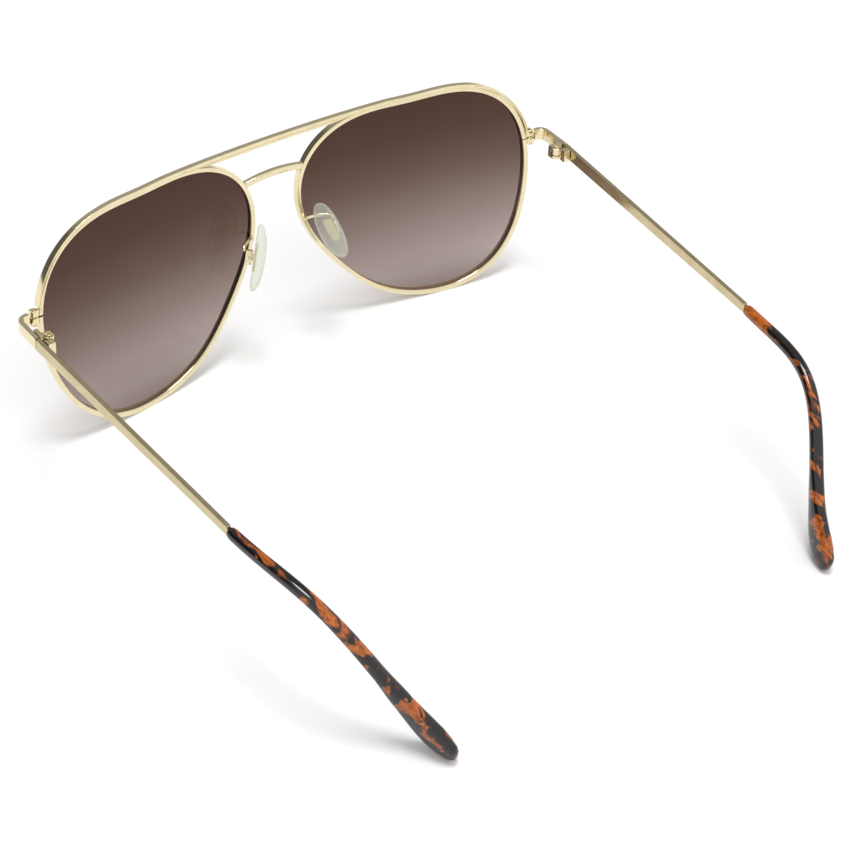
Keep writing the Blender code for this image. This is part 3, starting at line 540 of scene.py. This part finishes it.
def brow_stations():
    """Lower edge point, up direction, height and depth of the bar along its left half."""
    stations = []
    for i in range(RIM_STATIONS + 1):
        share = i / RIM_STATIONS
        point, out, _ = edge_frame(BROW_END + (BROW_LEAVE - BROW_END) * share)
        height = BROW_END_HEIGHT + (BROW_HEIGHT - BROW_END_HEIGHT) * min(1.0, share / BROW_TALL_FROM)
        deep = BROW_END_DEPTH + (BROW_DEPTH - BROW_END_DEPTH) * min(1.0, share * 2)
        stations.append((point + out * (RIM_WIDTH + BROW_GAP), out, height, deep))
    lower, out, _, _ = stations[-1]
    leave = lower + out * BROW_HEIGHT
    for i in range(1, NOSE_STATIONS + 1):
        share = i / NOSE_STATIONS
        lean = out.lerp(Vector((0, 1)), min(1.0, share * 2)).normalized()
        height = BROW_HEIGHT + (BROW_MIDDLE_HEIGHT - BROW_HEIGHT) * min(1.0, share * 2) ** 2
        top = Vector((leave.x * (1 - share), leave.y - BROW_SAG * math.sin(share * math.pi / 2)))
        stations.append((top - lean * height, lean, height, BROW_DEPTH))
    return stations


half = brow_stations()
whole = half + [(Vector((-p.x, p.y)), Vector((-n.x, n.y)), h, d) for p, n, h, d in reversed(half[:-1])]
sections = []
for point, out, height, deep in whole:
    line = height - BROW_HEIGHT
    sink = LINE_DEPTH * min(1.0, line / (3 * LINE_HALF))
    line = max(line, 3 * LINE_HALF) - height / 2
    face = deep / 2
    notch = [(face, line - LINE_HALF), (face - sink, line), (face, line + LINE_HALF)]
    pairs = plate_section(deep, height, BROW_ROUNDING) + notch
    sections.append([on_front(point + out * (b + height / 2), BROW_BACK - face + a) for a, b in pairs])
wear(loft("brow_bar_strip", sections, 1.0, 40), "front", GOLD, "frame", "brow_bar")

# %% Bridge
BRIDGE_ANGLE = math.radians(155.5)
BRIDGE_HEIGHT = 1.6 * MM
BRIDGE_DEPTH = 1.5 * MM
BRIDGE_ARCH = 0.9 * MM
BRIDGE_GAP = 0.05 * MM
BRIDGE_FORWARD = 0.6 * MM
BRIDGE_ROUNDING = 0.5 * MM
BRIDGE_STEPS = 60
BRIDGE_SECTION = plate_section(BRIDGE_DEPTH, BRIDGE_HEIGHT, BRIDGE_ROUNDING)
point, out, along = edge_frame(BRIDGE_ANGLE)
start = on_front(point + out * (RIM_WIDTH + BRIDGE_GAP), -BRIDGE_FORWARD)
sections = []
for i in range(BRIDGE_STEPS + 1):
    share = 1 - 2 * i / BRIDGE_STEPS
    centre = Vector((start.x * share, start.y, start.z + BRIDGE_ARCH * (1 - share * share)))
    lean = Vector((BRIDGE_ARCH * 2 * share / start.x, 0, 1)).normalized()
    if i in (0, BRIDGE_STEPS):
        lean = Vector((along.x / along.y * share, 0, 1))
    sections.append(set_down(BRIDGE_SECTION, centre, Vector((0, 1, 0)), lean))
wear(loft("bridge_wire", sections, 1.0, 40), "front", GOLD, "frame", "bridge")

# %% [markdown]
# ## End pieces, closing blocks and hinges
#
# These are small machined parts. The CAD solids already have their true shape, so each is copied, its
# loose triangles are merged into flat faces, and its edges are broken with a fine bevel, as a file and
# polish would.

# %% Machined parts from the CAD solids
SOLID_MERGE = 2e-6
FLAT_ANGLE = math.radians(1.0)
LOCK_BEVEL = 0.03 * MM
SCREW_BEVEL = 0.05 * MM
CORE_BEVEL = 0.06 * MM
LEAF_BEVEL = 0.1 * MM
BARREL_BEVEL = 0.12 * MM


def machined(node_name, body, material, slot, bevel):
    source = frame["nodes"][node_name]
    deselect()
    bpy.ops.mesh.primitive_cube_add(size=0.001)
    piece = bpy.context.object
    piece.data = source.data.copy()
    bpy.ops.object.mode_set(mode="EDIT")
    bpy.ops.mesh.select_all(action="SELECT")
    bpy.ops.mesh.remove_doubles(threshold=SOLID_MERGE)
    bpy.ops.mesh.dissolve_limited(angle_limit=FLAT_ANGLE)
    bpy.ops.object.mode_set(mode="OBJECT")
    edges = piece.modifiers.new("broken_edges", "BEVEL")
    edges.width = bevel
    edges.segments = 3
    edges.limit_method = "ANGLE"
    edges.angle_limit = math.radians(35)
    bpy.ops.object.modifier_apply(modifier=edges.name)
    settle(piece, f"{node_name}_finished", 1.0, 35)
    wear(piece, body, material, slot, node_name)


for prefix in ("left", "right"):
    for part in ("lock_upper", "lock_lower", "front_hinge", "pad_box"):
        machined(f"{prefix}_{part}", "front", GOLD, "frame", LOCK_BEVEL if "lock" in part else LEAF_BEVEL)
    machined(f"{prefix}_temple_hinge", f"{prefix}_temple", GOLD, "frame", BARREL_BEVEL)
    machined(f"{prefix}_pad_core", f"{prefix}_nose_pad", GOLD, "frame", CORE_BEVEL)
    for part in ("lock_screw", "hinge_screw", "pad_screw"):
        machined(f"{prefix}_{part}", "front", SCREW_GOLD, "screw", SCREW_BEVEL)

# %% End pieces
STRIP_THICK = 1.1 * MM
STRIP_TALL = 3.0 * MM
STRIP_ROUNDING = 0.18 * MM
HINGE_INSET = 2.55 * MM
END_CORNER = 1.9 * MM
STRIP_X = HINGE.x + HINGE_INSET
SEAM_TAKEN = 0.08 * MM
CORNER_STEPS = 24
UP = Vector((0, 0, 1))


def end_piece(side, prefix):
    low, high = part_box("left_end_piece")
    start = Vector((low.x, SETBACK + face_y(*LOCK_POINT), HINGE.z))
    corner = Vector((STRIP_X - END_CORNER, start.y + END_CORNER, HINGE.z))
    path = [(start, Vector((0, 1, 0)))]
    for i in range(CORNER_STEPS + 1):
        angle = math.pi / 2 * i / CORNER_STEPS
        spoke = Vector((math.sin(angle), -math.cos(angle), 0))
        path.append((corner + spoke * END_CORNER, -spoke))
    path.append((Vector((STRIP_X, high.y + SEAM_TAKEN, HINGE.z)), Vector((-1, 0, 0))))
    pairs = plate_section(STRIP_THICK, STRIP_TALL, STRIP_ROUNDING)
    piece = loft(f"{prefix}_bent_end_piece", [set_down(pairs, p, across, UP) for p, across in path], side, 40)
    wear(piece, "front", GOLD, "frame", f"{prefix}_end_piece")


for side, prefix in SIDES:
    end_piece(side, prefix)

# %% [markdown]
# ## Temples and tips
#
# A temple is a flat strip that tapers towards the ear and carries on inside its tip as a core wire. The
# tip is a sleeve of acetate heated and bent over the ear, wider and flatter near its end.

# %% The tip's path
SEAM_HALF = 0.12 * MM
TEMPLE_START = Vector((STRIP_X, HINGE.y + SEAM_HALF, HINGE.z))
TEMPLE_RUN = Vector((-3.45, 70.5, -2.9)) * MM
JUNCTION = TEMPLE_START + TEMPLE_RUN
TIP_INSET = 18.7 * MM
TIP_REACH = 53.1 * MM
TIP_END_RISE = 2.1 * MM
TIP_SIZE = Vector((-TIP_INSET, TIP_REACH, TIP_END_RISE - JUNCTION.z))
TIP_PATH = ((0, 0, 0), (0.102, 0.42, 0.061), (0.139, 0.599, -0.225), (0.786, 0.719, 0.915), (1, 1, 1))
CORE_SHARE = 0.62
TIP_LEAN = math.radians(11)
TIP_LEAN_FROM = 0.66
TIP_CONTROLS = [Vector([a * b for a, b in zip(steps, TIP_SIZE)]) for steps in TIP_PATH]
PATH_STEP = 0.002


def tip_point(share):
    return JUNCTION + bezier(TIP_CONTROLS, share)


def tip_frame(share):
    """Point of the tip's path, the direction across it and the direction up it, leaning towards its end."""
    along = (tip_point(min(1.0, share + PATH_STEP)) - tip_point(max(0.0, share - PATH_STEP))).normalized()
    across = along.cross(UP).normalized()
    lean = TIP_LEAN * min(1.0, max(0.0, (share - TIP_LEAN_FROM) / (1 - TIP_LEAN_FROM) * 2))
    across = Quaternion(along, lean) @ across
    return tip_point(share), across, across.cross(along)


# %% Temples
STRIP_CORNER_STEPS = 6
STRIP_END_TALL = 2.3 * MM
STRIP_END_GAP = 0.6 * MM
CORE_START_GAP = 0.3 * MM
CORE_THICK = 0.9 * MM
CORE_TALL = 1.2 * MM
CORE_STEPS = 24


def temple(side, prefix):
    line = (JUNCTION - TEMPLE_START).normalized()
    across = line.cross(UP).normalized()
    up = across.cross(line)
    root = plate_section(STRIP_THICK, STRIP_TALL, STRIP_ROUNDING, STRIP_CORNER_STEPS)
    tail = plate_section(STRIP_THICK, STRIP_END_TALL, STRIP_ROUNDING, STRIP_CORNER_STEPS)
    core = plate_section(CORE_THICK, CORE_TALL, STRIP_ROUNDING, STRIP_CORNER_STEPS)
    sections = [
        set_down(root, TEMPLE_START + line * (SEAM_HALF - SEAM_TAKEN), across, up),
        set_down(tail, JUNCTION - line * STRIP_END_GAP, across, up),
        set_down(core, JUNCTION - line * CORE_START_GAP, across, up),
    ]
    for i in range(CORE_STEPS + 1):
        sections.append(set_down(core, *tip_frame(CORE_SHARE * i / CORE_STEPS)))
    piece = loft(f"{prefix}_temple_strip", sections, side, 40)
    # The strip wears the plating darkened with painted shade.
    wear(piece, f"{prefix}_temple", SHADED_TEMPLE_GOLD, "frame", f"{prefix}_temple")


for side, prefix in SIDES:
    temple(side, prefix)

# %% Temple tips
SWELL_FROM = 0.66
TIP_SECTIONS = (
    (0.0, 2.0, 2.1), (0.004, 2.3, 2.35), (0.012, 2.5, 2.5), (0.1, 2.6, 2.6), (0.42, 2.8, 2.6),
    (SWELL_FROM, 3.1, 2.9), (0.78, 3.3, 4.5), (0.86, 3.4, 6.6), (0.905, 3.4, 7.3), (0.945, 3.3, 6.5),
    (0.985, 2.5, 4.5), (0.996, 1.7, 3.0), (1.0, 0.7, 1.5),
)
TIP_POINTS = 48
TIP_STEPS = 110
BORE_WIDTH = 1.26 * MM
BORE_HEIGHT = 1.56 * MM
BORE_SHARE = CORE_SHARE + 0.02


def tip_width(share):
    """Thickness and height of the tip at a share of its path."""
    for low, high in zip(TIP_SECTIONS, TIP_SECTIONS[1:]):
        if share <= high[0]:
            part = (share - low[0]) / (high[0] - low[0])
            part = part * part * (3 - 2 * part) if low[0] == SWELL_FROM else part
            return [(a + (b - a) * part) * MM for a, b in zip(low[1:], high[1:])]
    return [v * MM for v in TIP_SECTIONS[-1][1:]]


def tip(side, prefix):
    even = [i / TIP_STEPS for i in range(TIP_STEPS + 1)]
    shares = sorted(set(even + [row[0] for row in TIP_SECTIONS]))
    bore = [share for share in shares if share < BORE_SHARE]
    bore_oval = oval_section(BORE_WIDTH, BORE_HEIGHT, TIP_POINTS)
    sections = [set_down(bore_oval, *tip_frame(share)) for share in reversed(bore)]
    for share in shares:
        width, height = tip_width(share)
        sections.append(set_down(oval_section(width, height, TIP_POINTS), *tip_frame(share)))
    piece = loft(f"{prefix}_acetate_tip", sections, side, 60)
    wear(piece, f"{prefix}_temple", TORTOISE[side], "tip", f"{prefix}_temple_tip")


for side, prefix in SIDES:
    tip(side, prefix)

# %% [markdown]
# ## Nose pads and their arms
#
# A pad is a small clear cushion moulded over a metal plate. The plate shows through from both sides. Its
# stud rocks in a box at the end of a bent wire that is soldered to the rim.

# %% Pads
pad_joint = next(joint for joint in frame["joints"] if joint["name"] == "left_pad_rock")
PAD_AXIS = Vector(pad_joint["pos_m"])
PAD_ACROSS = Vector(pad_joint["axis"]).normalized()
PAD_LONG = Vector((0.31, 0.24, -0.92)).normalized()
PAD_OUT = PAD_LONG.cross(PAD_ACROSS).normalized()
PAD_LONG = PAD_ACROSS.cross(PAD_OUT).normalized()
PAD_STAND_OFF = 1.8 * MM
PAD_MIDDLE = PAD_AXIS + PAD_OUT * PAD_STAND_OFF
PAD_WIDTH = 5.6 * MM
PAD_LENGTH = 16.0 * MM
PAD_THICK = 1.9 * MM
PAD_BOW = 0.9 * MM
PAD_BACK = -1.0 * MM
PAD_POINTS = 96
PAD_FULLNESS = 2.3
POCKET_WIDTH = 2.66 * MM
POCKET_LENGTH = 6.56 * MM
POCKET_DEPTH = 0.7 * MM
POCKET_FULLNESS = 5.0
PAD_LAYERS = (
    (0.0, 0.84), (0.03, 0.89), (0.08, 0.94), (0.16, 0.98), (0.3, 1.0), (0.45, 1.0), (0.6, 0.98), (0.72, 0.94),
    (0.82, 0.87), (0.9, 0.77), (0.95, 0.64), (0.98, 0.48), (0.995, 0.3), (1.0, 0.12),
)


def pad(side, prefix):
    """Pad whose nose face is crowned along its length, with the plate's pocket in its back."""
    layers = [(POCKET_WIDTH, POCKET_LENGTH, depth, 0.0, POCKET_FULLNESS) for depth in (POCKET_DEPTH, 0.0)]
    for height, share in PAD_LAYERS:
        size = (PAD_WIDTH * share, PAD_LENGTH * share, PAD_THICK * height, PAD_BOW * height)
        layers.append((*size, PAD_FULLNESS))
    sections = []
    for width, length, height, bow, power in layers:
        section = []
        for x, y in oval_section(width, length, PAD_POINTS, power):
            rise = PAD_BACK + height + bow * (1 - (2 * y / PAD_LENGTH) ** 2)
            section.append(PAD_MIDDLE + PAD_OUT * rise + PAD_ACROSS * x - PAD_LONG * y)
        sections.append(section)
    piece = loft(f"{prefix}_clear_pad", sections, side, 50)
    wear(piece, f"{prefix}_nose_pad", CLEAR_PLASTIC, "pad", f"{prefix}_nose_pad")


for side, prefix in SIDES:
    pad(side, prefix)


# %% Pad arms
ARM_ANGLE = math.radians(178.5)
ARM_RADIUS = 0.42 * MM
ARM_ROOT_BACK = 0.17 * MM
ARM_ROOT_PULL = Vector((0.5, 1.6, 1.6)) * MM
ARM_END_BACK = 1.43 * MM
ARM_END_UP = 1.3 * MM
ARM_END_PULL = 1.2 * MM
ARM_STEPS = 48
ARM_SECTION = oval_section(2 * ARM_RADIUS, 2 * ARM_RADIUS, 24, 2.0)


def pad_arm(side, prefix):
    point, out, _ = edge_frame(ARM_ANGLE)
    root = on_front(point + out * RIM_WIDTH / 2, RIM_REAR + ARM_ROOT_BACK)
    end = PAD_AXIS - PAD_OUT * ARM_END_BACK - PAD_LONG * ARM_END_UP
    controls = (root, root + ARM_ROOT_PULL, end - (PAD_OUT + PAD_LONG) * ARM_END_PULL, end)
    slopes = [b - a for a, b in zip(controls, controls[1:])]
    sections = []
    for i in range(ARM_STEPS + 1):
        along = bezier(slopes, i / ARM_STEPS).normalized()
        across = along.cross(PAD_LONG).normalized()
        sections.append(set_down(ARM_SECTION, bezier(controls, i / ARM_STEPS), across, across.cross(along)))
    piece = loft(f"{prefix}_pad_wire", sections, side, 50)
    wear(piece, "front", GOLD, "frame", f"{prefix}_pad_arm")


for side, prefix in SIDES:
    pad_arm(side, prefix)

# %% [markdown]
# ## Studio
#
# A white table and a bright surround, as for a catalogue picture. Polished metal only shows what stands
# round it, so the surround is not even: it is darker over the front left and greyer over the front right,
# which is what draws the dark and tan lines along the wires.

# %% Table
TABLE_SIZE = 30.0
deselect()
bpy.ops.mesh.primitive_plane_add(size=TABLE_SIZE, location=(0, 0, 0))
table = bpy.context.object
table.name = "table"
white, tree, shader = new_material("white_table")
shader.inputs["Base Color"].default_value = (0.93, 0.93, 0.93, 1.0)
shader.inputs["Roughness"].default_value = 0.9
shader.inputs["Specular IOR Level"].default_value = 0.1
table.data.materials.append(white)

# %% Surround
WORLD_STRENGTH = 0.98
DARK_FLAGS = (((0.62, -0.6, 0.45), 0.93, 0.72, 0.12), ((-0.45, -0.62, 0.63), 0.9, 0.7, 0.42))
world = bpy.data.worlds.new("studio")
bpy.context.scene.world = world
world.use_nodes = True
tree = world.node_tree
background = tree.nodes["Background"]
coordinate = node(tree, "ShaderNodeTexCoord")


def patch(direction, inner, outer, depth):
    """Share of light left where a dark flag stands in a direction."""
    product = node(tree, "ShaderNodeVectorMath", operation="DOT_PRODUCT")
    product.inputs[1].default_value = Vector(direction).normalized()
    tree.links.new(coordinate.outputs["Generated"], product.inputs[0])
    return map_range(tree, product.outputs["Value"], (outer, inner), (1.0, depth), "SMOOTHSTEP")


strength = WORLD_STRENGTH
for flag in DARK_FLAGS:
    strength = arithmetic(tree, "MULTIPLY", patch(*flag), strength)
tree.links.new(strength, background.inputs["Strength"])
background.inputs["Color"].default_value = (1.0, 1.0, 1.0, 1.0)

# %% Soft overhead light
SUN_LEAN = math.radians(4)
deselect()
bpy.ops.object.light_add(type="SUN", rotation=(SUN_LEAN, -SUN_LEAN, 0))
sun = bpy.context.object
sun.name = "soft_overhead"
sun.data.energy = 1.5
sun.data.angle = math.radians(22)

# %% Camera
CAMERA_PLACE = (0.27100, 0.33162, 0.36294)
CAMERA_TURN = (math.radians(50.803), math.radians(-2.815), math.radians(143.740))
bpy.context.scene.view_settings.view_transform = "Standard"
deselect()
bpy.ops.object.camera_add(location=CAMERA_PLACE, rotation=CAMERA_TURN)
camera = bpy.context.object
camera.name = "catalogue_camera"
camera.data.sensor_width = 36.0
camera.data.lens = 105.88
camera.data.clip_start = 0.01
bpy.context.scene.camera = camera
